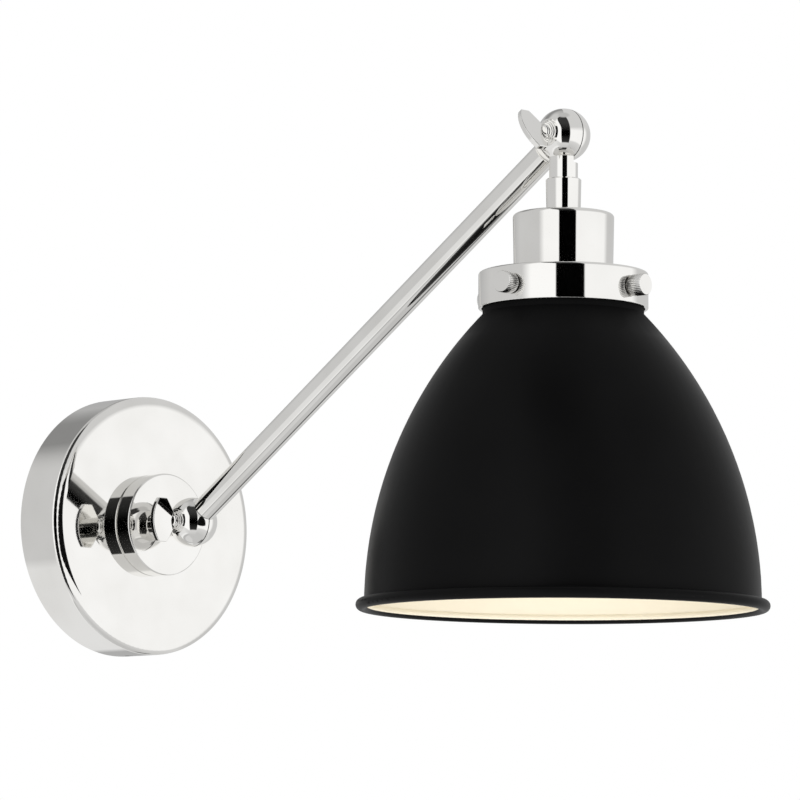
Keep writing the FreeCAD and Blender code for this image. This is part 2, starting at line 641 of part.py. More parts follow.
# ---------------------------------------------------------------- build
def build():
    os.makedirs("parts", exist_ok=True)
    save("wall_plate", wall_plate())
    save("mounting_strap", mounting_strap())
    save("plate_grub_screws", plate_grub_screws())
    save("ground_screw", ground_screw())

    save("hub_disc", hub_disc())
    save("hub_nipple", hub_nipple())
    save("hub_washer", hub_washer())
    save("hub_locknut", hub_locknut())
    save("wall_knuckle", near_half(lower_ball, INWARD, WALL_NECK_LENGTH, lower_relief))
    save("lower_friction_washer", friction_washer(lower_ball))

    save("lower_far_half", far_half(lower_ball, arm_direction, lower_relief))
    save("arm_tube", arm_tube())
    save("upper_far_half", far_half(upper_ball, -arm_direction, upper_relief))

    save("head_knuckle", near_half(upper_ball, DOWN, HEAD_NECK_LENGTH, upper_relief))
    save("upper_friction_washer", friction_washer(upper_ball))
    save("stem_coupling", stem_coupling())
    save("head_nipple", head_nipple())
    save("socket_cup", socket_cup())
    save("cup_locknut", cup_locknut())
    save("shade_holder", shade_holder())
    save("lampholder_cap", lampholder_cap())
    save("lampholder_body", lampholder_body())
    save("screw_shell", screw_shell())
    save("centre_contact", centre_contact())
    save("shade", shade())

    save("lower_key", thumb_key(lower_ball, LOWER_KEY_LEAN))
    save("lower_key_washer", key_washer(lower_ball))
    save("upper_key", thumb_key(upper_ball, UPPER_KEY_LEAN))
    save("upper_key_washer", key_washer(upper_ball))
    for index in range(SCREW_COUNT):
        save(f"shade_screw_{index + 1}", shade_screw(index))


build()
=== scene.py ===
import json
import math

import bmesh
import bpy
from bpy.props import FloatProperty, FloatVectorProperty, IntProperty, PointerProperty
from mathutils import Matrix, Vector


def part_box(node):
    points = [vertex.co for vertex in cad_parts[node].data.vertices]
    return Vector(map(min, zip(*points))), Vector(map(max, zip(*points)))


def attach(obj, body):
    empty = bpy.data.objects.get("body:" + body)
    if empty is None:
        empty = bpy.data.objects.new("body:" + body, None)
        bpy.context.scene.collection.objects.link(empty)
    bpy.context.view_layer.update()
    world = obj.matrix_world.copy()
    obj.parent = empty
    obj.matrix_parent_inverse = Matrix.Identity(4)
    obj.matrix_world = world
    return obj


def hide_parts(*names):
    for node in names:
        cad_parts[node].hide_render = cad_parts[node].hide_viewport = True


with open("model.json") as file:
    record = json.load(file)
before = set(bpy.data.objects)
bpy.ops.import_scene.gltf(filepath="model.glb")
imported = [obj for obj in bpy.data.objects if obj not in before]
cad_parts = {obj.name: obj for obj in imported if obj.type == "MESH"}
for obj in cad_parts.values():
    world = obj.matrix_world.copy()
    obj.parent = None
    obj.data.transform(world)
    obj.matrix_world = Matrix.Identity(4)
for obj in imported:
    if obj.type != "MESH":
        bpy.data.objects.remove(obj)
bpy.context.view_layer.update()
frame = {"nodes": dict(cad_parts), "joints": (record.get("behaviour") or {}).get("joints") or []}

bl_info = {
    "name": "Articulating Wall Lamp",
    "version": (1, 0, 0),
    "blender": (4, 5, 0),
    "location": "View3D > Sidebar > Wall Lamp",
    "description": "Finishes, fine metalwork and studio of an articulating wall lamp",
    "category": "Object",
}

PIVOTS = {joint["child"]: joint for joint in frame["joints"]}
LOWER_PIVOT = Vector(PIVOTS["arm"]["pos_m"])
UPPER_PIVOT = Vector(PIVOTS["head"]["pos_m"])    # also on the shade's own axis

NICKEL_NODES = (
    "wall_plate", "hub_disc", "wall_knuckle", "lower_far_half", "arm_tube", "upper_far_half",
    "head_knuckle", "stem_coupling", "socket_cup", "shade_holder",
    "lower_key", "lower_key_washer", "upper_key", "upper_key_washer",
)


# ---------------------------------------------------------------- sizes and colours
class LampSizes(bpy.types.PropertyGroup):
    """Sizes of the threads, knurls and key collars, which the frame leaves out."""

    screw_tip: FloatProperty(
        name="Screw Tip", description="Distance from the shade's axis to a thumbscrew's tip",
        default=0.03505, min=0.01, unit="LENGTH")
    screw_seat: FloatProperty(
        name="Screw Seat", description="Distance from the shade's axis to a thumbscrew's shoulder",
        default=0.03845, min=0.01, unit="LENGTH")
    screw_radius: FloatProperty(
        name="Screw Radius", description="Radius over a thumbscrew's thread",
        default=0.0020, min=0.0005, unit="LENGTH")
    screw_pitch: FloatProperty(
        name="Screw Pitch", description="Pitch of a thumbscrew's thread",
        default=0.0007, min=0.0002, unit="LENGTH")
    screw_ridge: FloatProperty(
        name="Screw Ridge", description="Half width of a thumbscrew's thread",
        default=0.00025, min=0.0001, unit="LENGTH")
    tip_bevel: FloatProperty(
        name="Tip Bevel", description="Bevel at a thumbscrew's tip",
        default=0.0006, min=0.0, unit="LENGTH")
    shoulder_radius: FloatProperty(
        name="Shoulder Radius", description="Radius of a thumbscrew's shoulder",
        default=0.0032, min=0.0005, unit="LENGTH")
    shoulder_length: FloatProperty(
        name="Shoulder Length", description="Length of a thumbscrew's shoulder",
        default=0.0004, min=0.0001, unit="LENGTH")
    head_radius: FloatProperty(
        name="Head Radius", description="Radius over a thumbscrew head's knurl",
        default=0.0048, min=0.001, unit="LENGTH")
    head_length: FloatProperty(
        name="Head Length", description="Length of a thumbscrew's head",
        default=0.0067, min=0.001, unit="LENGTH")
    head_bevel: FloatProperty(
        name="Head Bevel", description="Bevel at both ends of a thumbscrew's head",
        default=0.00025, min=0.0, unit="LENGTH")
    knurl_depth: FloatProperty(
        name="Knurl Depth", description="Depth of the knurl on a thumbscrew's head",
        default=0.00028, min=0.0, unit="LENGTH")
    knurl_teeth: IntProperty(
        name="Knurl Teeth", description="Teeth round a thumbscrew's head", default=40, min=8)
    key_seat: FloatProperty(
        name="Key Seat", description="Distance from a knuckle's centre to the outside of its key washer",
        default=0.0113, min=0.001, unit="LENGTH")
    key_boss_radius: FloatProperty(
        name="Key Boss Radius", description="Radius of a thumb key's boss",
        default=0.0033, min=0.001, unit="LENGTH")
    collar_radius: FloatProperty(
        name="Collar Radius", description="Outer radius of the stepped collar round a key's boss",
        default=0.0048, min=0.001, unit="LENGTH")
    collar_step: FloatProperty(
        name="Collar Step", description="Height, and inset, of each step of a key's collar",
        default=0.0006, min=0.0001, unit="LENGTH")
    shell_bore: FloatProperty(
        name="Shell Bore", description="Inner radius of the lampholder's screw shell",
        default=0.01325, min=0.005, unit="LENGTH")
    shell_pitch: FloatProperty(
        name="Shell Pitch", description="Pitch of the rolled thread in the screw shell",
        default=0.00363, min=0.001, unit="LENGTH")
    shell_ridge: FloatProperty(
        name="Shell Ridge", description="Half width of the rolled thread's ridge",
        default=0.00072, min=0.0001, unit="LENGTH")
    nipple_radius: FloatProperty(
        name="Nipple Radius", description="Radius at the root of the hub nipple's thread",
        default=0.0048, min=0.001, unit="LENGTH")
    nipple_pitch: FloatProperty(
        name="Nipple Pitch", description="Pitch of the hub nipple's thread",
        default=0.0005, min=0.0002, unit="LENGTH")
    nipple_ridge: FloatProperty(
        name="Nipple Ridge", description="Half width of the hub nipple's thread",
        default=0.00018, min=0.0001, unit="LENGTH")


class LampFinishes(bpy.types.PropertyGroup):
    """Colours of the lamp's finishes."""

    nickel: FloatVectorProperty(
        name="Nickel", description="Polished nickel", subtype="COLOR",
        size=3, min=0.0, max=1.0, default=(0.92, 0.912, 0.89))
    nickel_haze: FloatVectorProperty(
        name="Nickel Haze", description="Polished nickel where it has dulled a little", subtype="COLOR",
        size=3, min=0.0, max=1.0, default=(0.86, 0.85, 0.825))
    enamel: FloatVectorProperty(
        name="Black Enamel", description="Outside of the shade", subtype="COLOR",
        size=3, min=0.0, max=1.0, default=(0.0032, 0.0032, 0.0033))
    lining: FloatVectorProperty(
        name="Cream Lining", description="Inside of the shade", subtype="COLOR",
        size=3, min=0.0, max=1.0, default=(0.95, 0.89, 0.755))
    zinc: FloatVectorProperty(
        name="Zinc", description="Zinc-plated strap and hub washer", subtype="COLOR",
        size=3, min=0.0, max=1.0, default=(0.62, 0.63, 0.65))
    brass: FloatVectorProperty(
        name="Brass", description="Nipples, locknuts and centre contact", subtype="COLOR",
        size=3, min=0.0, max=1.0, default=(0.78, 0.58, 0.28))
    green: FloatVectorProperty(
        name="Green Screw", description="Earth screw", subtype="COLOR",
        size=3, min=0.0, max=1.0, default=(0.03, 0.27, 0.08))
    dark_steel: FloatVectorProperty(
        name="Dark Steel", description="Grub screws of the wall plate", subtype="COLOR",
        size=3, min=0.0, max=1.0, default=(0.10, 0.10, 0.11))
    fibre: FloatVectorProperty(
        name="Fibre", description="Friction washers in the knuckles", subtype="COLOR",
        size=3, min=0.0, max=1.0, default=(0.025, 0.025, 0.025))
    shell: FloatVectorProperty(
        name="Shell", description="Lampholder's cap and screw shell", subtype="COLOR",
        size=3, min=0.0, max=1.0, default=(0.80, 0.80, 0.79))
    ceramic: FloatVectorProperty(
        name="Ceramic", description="Glazed body of the lampholder", subtype="COLOR",
        size=3, min=0.0, max=1.0, default=(0.86, 0.84, 0.79))


class StudioSettings(bpy.types.PropertyGroup):
    """Camera, floor and lights."""

    camera_place: FloatVectorProperty(
        name="Camera Place", description="Where the camera stands", subtype="TRANSLATION",
        size=3, default=(-1.38189, -1.60310, -0.17816))
    camera_azimuth: FloatProperty(
        name="Azimuth", description="Direction that the camera looks in, from +Y",
        default=math.radians(-44.5117), subtype="ANGLE")
    camera_pitch: FloatProperty(
        name="Pitch", description="How far the camera looks up",
        default=math.radians(6.5681), subtype="ANGLE")
    camera_roll: FloatProperty(
        name="Roll", description="Turn of the camera about its own axis",
        default=math.radians(0.3762), subtype="ANGLE")
    camera_lens: FloatProperty(
        name="Lens", description="Focal length in millimetres, on a sensor 36 mm wide",
        default=192.287, min=1.0)
    floor_drop: FloatProperty(
        name="Floor Drop", description="Height of the lamp's origin above the floor",
        default=2.6, min=0.1, unit="LENGTH")
    floor_colour: FloatVectorProperty(
        name="Floor", description="Colour of the floor", subtype="COLOR",
        size=3, min=0.0, max=1.0, default=(0.90, 0.90, 0.89))
    room_light: FloatProperty(
        name="Room Light", description="Strength of the light from all round", default=0.72, min=0.0)
    key_power: FloatProperty(
        name="Key Power", description="Power of the large lamp above on the left", default=8.0, min=0.0)
    fill_power: FloatProperty(
        name="Fill Power", description="Power of the lamp on the right", default=7.0, min=0.0)
    bounce_power: FloatProperty(
        name="Bounce Power", description="Power of the lamp that lights the shade's inside from below",
        default=16.2, min=0.0)


# ---------------------------------------------------------------- shader helper
class Wire:
    """A socket of a shader node, so that shader maths reads as plain arithmetic."""

    def __init__(self, tree, socket=None):
        self.tree = tree
        self.socket = socket

    def add(self, kind, settings=None, values=None, output=0):
        """Adds a node, sets it up, and gives its sockets their values or links."""
        node = self.tree.nodes.new(kind)
        for name, value in (settings or {}).items():
            if name == "stops":
                ramp = node.color_ramp.elements
                for index, (place, colour) in enumerate(value):
                    stop = ramp[index] if index < 2 else ramp.new(place)
                    stop.position, stop.color = place, colour
            else:
                setattr(node, name, value)
        for name, value in (values or {}).items():
            if isinstance(value, Wire):
                self.tree.links.new(value.socket, node.inputs[name])
            else:
                node.inputs[name].default_value = value
        return Wire(self.tree, node.outputs[output] if node.outputs else None)

    def maths(self, operation, *terms):
        return self.add("ShaderNodeMath", {"operation": operation}, dict(enumerate(terms)))

    def __add__(self, other):
        return self.maths("ADD", self, other)

    __radd__ = __add__

    def __sub__(self, other):
        return self.maths("SUBTRACT", self, other)

    def __rsub__(self, other):
        return self.maths("SUBTRACT", other, self)

    def __mul__(self, other):
        return self.maths("MULTIPLY", self, other)

    __rmul__ = __mul__

    def __truediv__(self, other):
        return self.maths("DIVIDE", self, other)

    def __pow__(self, other):
        return self.maths("POWER", self, other)

    def clamped(self):
        return self.maths("MINIMUM", self.maths("MAXIMUM", self, 0.0), 1.0)

    def rise(self, low, high):
        """0 below low, 1 above high, and even between."""
        return ((self - low) / (high - low)).clamped()


def rgba(colour, brightness=1.0):
    return (*(brightness * part for part in colour), 1.0)


def grey(value):
    return rgba((value, value, value))


def past(angle, low, high):
    """0 below low degrees, 1 above high, and even between."""
    return angle.rise(math.radians(low), math.radians(high))


def band(angle, low, full, fading, high):
    """1 from full to fading degrees, and 0 below low and above high."""
    return past(angle, low, full) * (1 - past(angle, fading, high))


def noise(wire, scale, detail=3.0, roughness=0.5):
    """Even noise on the object's own coordinates, from 0 to 1."""
    place = wire.add("ShaderNodeTexCoord", output="Object")
    return wire.add("ShaderNodeTexNoise", None, {
        "Vector": place, "Scale": scale, "Detail": detail, "Roughness": roughness}, "Fac")


def mixed(wire, factor, first, second):
    """The first colour where the factor is 0, the second where it is 1."""
    colour_a, colour_b, colour_out = 6, 7, 2    # the Mix node's colour sockets share their names
    return wire.add("ShaderNodeMix", {"data_type": "RGBA"},
                    {"Factor": factor, colour_a: first, colour_b: second}, colour_out)


def axes(wire, output):
    """The x, y and z of a texture coordinate, as three wires."""
    place = wire.add("ShaderNodeTexCoord", output=output)
    parts = wire.add("ShaderNodeSeparateXYZ", None, {"Vector": place}).socket.node.outputs
    return [Wire(wire.tree, parts[name]) for name in "XYZ"]


def bump(wire, height, strength, distance):
    """The normal of a surface that stands up to the distance higher where the height is 1."""
    return wire.add("ShaderNodeBump", None,
                    {"Strength": strength, "Distance": distance, "Height": height}, "Normal")


def finish(name, paint):
    """A material whose surface comes from paint(wire), a dictionary of Principled sockets."""
    material = bpy.data.materials.new(name)
    material.use_nodes = True
    tree = material.node_tree
    tree.nodes.clear()
    wire = Wire(tree)
    surface = wire.add("ShaderNodeBsdfPrincipled", None, paint(wire))
    wire.add("ShaderNodeOutputMaterial", None, {"Surface": surface})
    return material


def put_on(node_names, material):
    """Gives a material to nodes of the frame."""
    for name in node_names:
        frame["nodes"][name].material_slots[0].material = material


# ---------------------------------------------------------------- finishes
def polished_nickel(colours):
    def paint(wire):
        haze = noise(wire, 38.0, detail=2.0)
        return {
            "Base Color": mixed(wire, haze.rise(0.35, 0.75),
                                rgba(colours.nickel), rgba(colours.nickel_haze)),
            "Metallic": 1.0,
            "Roughness": 0.03 + 0.03 * haze,
            "Normal": bump(wire, haze, strength=0.05, distance=0.0001),
        }
    return finish("polished_nickel_finish", paint)


def shade_paint(colours):
    """Black outside and cream inside, parted in the middle of the wall and at the rim's bead."""
    low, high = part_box("shade")
    axis = (low + high) / 2
    bead_radius = 0.0026
    bead_overhang = 0.00115      # from the bell's outer face at the rim to the bead's centre
    neck_inset = 0.0019          # from the holder's outer face to the neck's
    neck_below = 0.0026          # straight part of the neck that shows under the holder
    half_wall = 0.0004
    blur = 0.00003               # half the width of the line where black meets cream
    lining_end = -0.0009         # how far from the rim the cream goes down inside the bead
    shoulder_height = 0.012      # part of the bell under its neck that reflects less sharply
    rim_radius = (high.x - low.x) / 2 - bead_radius - bead_overhang
    rim_height = low.z + bead_radius
    holder_low, holder_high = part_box("shade_holder")
    neck_radius = (holder_high.x - holder_low.x) / 2 - neck_inset
    bell_height = holder_low.z - neck_below - rim_height
    flare = rim_radius - neck_radius
    arc_radius = (flare ** 2 + bell_height ** 2) / (2 * flare)    # centred at the rim's height

    def paint(wire):
        x, y, z = (part - start for part, start in zip(axes(wire, "Object"), (*axis.xy, rim_height)))
        radius = (x * x + y * y) ** 0.5
        outward = radius - (rim_radius - arc_radius)
        reach = (outward * outward + z * z) ** 0.5    # from the centre of the bell's arc
        in_bell = (arc_radius - half_wall - reach).rise(-blur, blur) * z.rise(
            lining_end - 0.00005, lining_end + 0.00005)
        in_neck = (neck_radius - half_wall - radius).rise(-blur, blur) * z.rise(
            bell_height - 0.0001, bell_height)
        inside = wire.maths("MAXIMUM", in_bell, in_neck)
        shoulder = z.rise(bell_height - shoulder_height, bell_height - 0.002)
        peel = noise(wire, 1500.0, detail=2.0)
        cloud = noise(wire, 30.0)
        black = mixed(wire, cloud, rgba(colours.enamel), rgba(colours.enamel, 1.6))
        cream = mixed(wire, cloud, rgba(colours.lining), rgba(colours.lining, 0.96))
        return {
            "Base Color": mixed(wire, inside, black, cream),
            "Roughness": 0.33 + 0.05 * cloud + 0.1 * inside + 0.3 * shoulder,
            "Specular IOR Level": 0.05,
            "Normal": bump(wire, peel, strength=0.12, distance=0.00003),
        }
    return finish("enamel_finish", paint)


def satin(name, colour, metallic, roughness):
    """A finely grained finish for metal, fibre or paint."""
    def paint(wire):
        cloud = noise(wire, 140.0)
        grain = noise(wire, 2200.0, detail=4.0, roughness=0.7)
        return {
            "Base Color": mixed(wire, cloud, rgba(colour), rgba(colour, 0.82)),
            "Metallic": metallic,
            "Roughness": roughness + 0.08 * cloud + 0.06 * grain,
            "Normal": bump(wire, grain, strength=0.10, distance=0.00002),
        }
    return finish(name, paint)


def glazed_ceramic(colours):
    def paint(wire):
        cloud = noise(wire, 90.0, detail=2.0)
        return {
            "Base Color": mixed(wire, cloud, rgba(colours.ceramic), rgba(colours.ceramic, 0.93)),
            "Roughness": 0.22 + 0.08 * cloud,
            "Coat Weight": 0.4,
            "Coat Roughness": 0.08,
            "Normal": bump(wire, cloud, strength=0.05, distance=0.0002),
        }
    return finish("glazed_ceramic_finish", paint)


# ---------------------------------------------------------------- mesh helpers
SHARP_ANGLE = math.radians(35)    # an edge that bends further is shown sharp


def turned(bm, outline, steps):
    """Spins an outline of (radius, height) points into a closed solid about Z."""
    points = [bm.verts.new((radius, 0.0, height)) for radius, height in outline]
    edges = [bm.edges.new(pair) for pair in zip(points, points[1:])]
    bmesh.ops.spin(bm, geom=points + edges, cent=(0, 0, 0), axis=(0, 0, 1), dvec=(0, 0, 0),
                   angle=2 * math.pi, steps=steps, use_merge=True, use_duplicate=False)
    bmesh.ops.remove_doubles(bm, verts=bm.verts, dist=1e-7)


def wound_ridge(bm, radius, half_width, pitch, length, steps):
    """Winds a round ridge about Z from z = 0, in an empty bmesh, with so many steps a turn."""
    turns = length / pitch
    count = max(2, round(steps * turns))
    bmesh.ops.create_circle(bm, cap_ends=False, radius=half_width, segments=8)
    place = Matrix.Translation((radius, 0, 0)) @ Matrix.Rotation(math.pi / 2, 4, "X")
    bmesh.ops.transform(bm, matrix=place, verts=bm.verts)
    bmesh.ops.spin(bm, geom=bm.verts[:] + bm.edges[:], cent=(0, 0, 0), axis=(0, 0, 1),
                   dvec=(0, 0, length / count), angle=2 * math.pi * turns,
                   steps=count, use_merge=False, use_duplicate=False)
    bmesh.ops.holes_fill(bm, edges=[edge for edge in bm.edges if edge.is_boundary], sides=8)


def made(name, bm, place, material, body):
    """Turns a bmesh into a piece that rides on a body, with its place in its mesh."""
    bmesh.ops.recalc_face_normals(bm, faces=bm.faces)
    bmesh.ops.transform(bm, matrix=place, verts=bm.verts)
    for face in bm.faces:
        face.smooth = True
    for edge in bm.edges:
        if len(edge.link_faces) == 2 and edge.calc_face_angle(0.0) > SHARP_ANGLE:
            edge.smooth = False
    mesh = bpy.data.meshes.new(name)
    bm.to_mesh(mesh)
    bm.free()
    mesh.materials.append(material)
    piece = bpy.data.objects.new(name, mesh)
    bpy.context.scene.collection.objects.link(piece)
    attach(piece, body)
    return piece


def facing(direction, origin):
    """Matrix that carries Z to a direction and the origin to a point."""
    turn = Vector(direction).to_track_quat("Z", "Y").to_matrix().to_4x4()
    return Matrix.Translation(origin) @ turn


# ---------------------------------------------------------------- operators
class LAMP_OT_nickel(bpy.types.Operator):
    """Polish the nickel pieces: plate, hub, knuckles, arm, keys, coupling, cup and holder"""

    bl_idname = "wall_lamp.nickel"
    bl_label = "Polish Nickel"

    def execute(self, context):
        put_on(NICKEL_NODES, polished_nickel(context.scene.lamp_finishes))
        return {"FINISHED"}


class LAMP_OT_shade(bpy.types.Operator):
    """Paint the shade black outside and cream inside"""

    bl_idname = "wall_lamp.shade"
    bl_label = "Paint Shade"

    def execute(self, context):
        put_on(("shade",), shade_paint(context.scene.lamp_finishes))
        return {"FINISHED"}


class LAMP_OT_hardware(bpy.types.Operator):
    """Finish the strap, screws, nuts, washers, nipples and lampholder"""

    bl_idname = "wall_lamp.hardware"
    bl_label = "Finish Hardware"

    def execute(self, context):
        colours = context.scene.lamp_finishes
        for name, colour, metallic, roughness, nodes in (
                ("zinc_finish", colours.zinc, 1.0, 0.28, ("mounting_strap", "hub_washer")),
                ("brass_finish", colours.brass, 1.0, 0.24,
                 ("hub_nipple", "hub_locknut", "head_nipple", "cup_locknut", "centre_contact")),
                ("green_screw_finish", colours.green, 0.0, 0.35, ("ground_screw",)),
                ("dark_screw_finish", colours.dark_steel, 1.0, 0.3, ("plate_grub_screws",)),
                ("fibre_finish", colours.fibre, 0.0, 0.6,
                 ("lower_friction_washer", "upper_friction_washer")),
                ("shell_finish", colours.shell, 1.0, 0.2, ("lampholder_cap", "screw_shell"))):
            put_on(nodes, satin(name, colour, metallic, roughness))
        put_on(("lampholder_body",), glazed_ceramic(colours))
        return {"FINISHED"}


class LAMP_OT_thumbscrews(bpy.types.Operator):
    """Model the thumbscrews with their knurled heads and threads"""

    bl_idname = "wall_lamp.thumbscrews"
    bl_label = "Knurled Thumbscrews"

    def execute(self, context):
        sizes = context.scene.lamp_sizes
        nickel = context.scene.lamp_finishes.nickel
        metal = satin("knurled_nickel_finish", nickel, metallic=1.0, roughness=0.22)
        for index in range(1, 5):
            self.screw(index, sizes, metal)
        return {"FINISHED"}

    def screw(self, index, sizes, metal):
        """Makes a thumbscrew on Z and then lays it along its joint's axis."""
        node = f"shade_screw_{index}"
        low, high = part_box(node)
        direction = Vector(PIVOTS[f"thumbscrew_{index}"]["axis"])
        origin = Vector((UPPER_PIVOT.x, UPPER_PIVOT.y, (low.z + high.z) / 2))
        tip = sizes.screw_tip
        seat = sizes.screw_seat
        foot = seat + sizes.shoulder_length
        end = foot + sizes.head_length
        stem = sizes.screw_radius - sizes.screw_ridge
        shoulder = sizes.shoulder_radius
        head = sizes.head_radius
        point = sizes.tip_bevel
        bevel = sizes.head_bevel
        bm = bmesh.new()
        turned(bm, [(0, tip), (stem - point, tip), (stem, tip + point), (stem, seat),
                    (shoulder, seat), (shoulder, foot), (head - bevel, foot), (head, foot + bevel),
                    (head, end - bevel), (head - bevel, end), (0, end)],
               steps=2 * sizes.knurl_teeth)
        groove = 1 - sizes.knurl_depth / head
        hollows = [vert for vert in bm.verts if vert.co.xy.length > head - bevel / 2
                   and round(math.atan2(vert.co.y, vert.co.x) / math.pi * sizes.knurl_teeth) % 2]
        bmesh.ops.scale(bm, vec=(groove, groove, 1), verts=hollows)
        thread_start = tip + point + 0.0001
        thread_end = seat - 0.0002
        thread = bmesh.new()
        wound_ridge(thread, stem, sizes.screw_ridge, sizes.screw_pitch,
                    thread_end - thread_start, steps=24)
        bmesh.ops.translate(thread, vec=(0, 0, thread_start), verts=thread.verts)
        spare = bpy.data.meshes.new("thumbscrew_thread")
        thread.to_mesh(spare)
        thread.free()
        bm.from_mesh(spare)
        bpy.data.meshes.remove(spare)
        for face in bm.faces:    # the head's end and the bevel round it are polished
            face.material_index = int(face.calc_center_median().z > end - 0.9 * bevel)
        piece = made(f"thumbscrew_{index}_knurled", bm, facing(direction, origin), metal,
                     f"thumbscrew_{index}")
        piece.data.materials.append(bpy.data.materials["polished_nickel_finish"])
        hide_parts(node)


class LAMP_OT_key_collars(bpy.types.Operator):
    """Turn the stepped collars that ring each thumb key's boss on its washer"""

    bl_idname = "wall_lamp.key_collars"
    bl_label = "Key Collars"

    def execute(self, context):
        sizes = context.scene.lamp_sizes
        metal = bpy.data.materials["polished_nickel_finish"]
        bore = sizes.key_boss_radius - 0.0001    # a little inside the boss, so that no gap shows
        wide = sizes.collar_radius
        step = sizes.collar_step
        for name, pivot, body in (("lower_key_collar", LOWER_PIVOT, "lower_thumb_key"),
                                  ("upper_key_collar", UPPER_PIVOT, "upper_thumb_key")):
            bm = bmesh.new()
            turned(bm, [(bore, 0.0), (wide, 0.0), (wide, step), (wide - step, step),
                        (wide - step, 2 * step), (bore, 2 * step), (bore, 0.0)], steps=64)
            bmesh.ops.recalc_face_normals(bm, faces=bm.faces)
            rims = [edge for edge in bm.edges
                    if edge.is_convex and edge.calc_face_angle(0.0) > SHARP_ANGLE
                    and all(vert.co.z > 0 and vert.co.xy.length > bore + step / 2
                            for vert in edge.verts)]
            bmesh.ops.bevel(bm, geom=rims, offset=step / 3, segments=3, profile=0.5,
                            affect="EDGES", material=-1)
            made(name, bm, facing((-1, 0, 0), pivot + Vector((-sizes.key_seat, 0, 0))), metal,
                 body)
        return {"FINISHED"}


class LAMP_OT_shell_thread(bpy.types.Operator):
    """Roll the thread of the lampholder's screw shell"""

    bl_idname = "wall_lamp.shell_thread"
    bl_label = "Shell Thread"

    def execute(self, context):
        sizes = context.scene.lamp_sizes
        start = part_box("screw_shell")[0].z + 0.0014
        turns = 5.6
        bm = bmesh.new()
        wound_ridge(bm, sizes.shell_bore + 0.0001, sizes.shell_ridge, sizes.shell_pitch,
                    turns * sizes.shell_pitch, steps=64)
        place = Matrix.Translation((UPPER_PIVOT.x, UPPER_PIVOT.y, start))
        made("screw_shell_thread", bm, place, bpy.data.materials["shell_finish"], "head")
        return {"FINISHED"}


class LAMP_OT_nipple_thread(bpy.types.Operator):
    """Wind the thread on the end of the hub's nipple, behind its locknut"""

    bl_idname = "wall_lamp.nipple_thread"
    bl_label = "Nipple Thread"

    def execute(self, context):
        sizes = context.scene.lamp_sizes
        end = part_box("hub_nipple")[1].y
        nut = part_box("hub_locknut")[1].y
        margin = 0.0002          # plain nipple at both ends of the thread
        bm = bmesh.new()
        wound_ridge(bm, sizes.nipple_radius, sizes.nipple_ridge, sizes.nipple_pitch,
                    end - nut - 2 * margin, steps=40)
        made("hub_nipple_thread", bm, facing((0, 1, 0), (0, nut + margin, 0)),
             bpy.data.materials["brass_finish"], "hub")
        return {"FINISHED"}


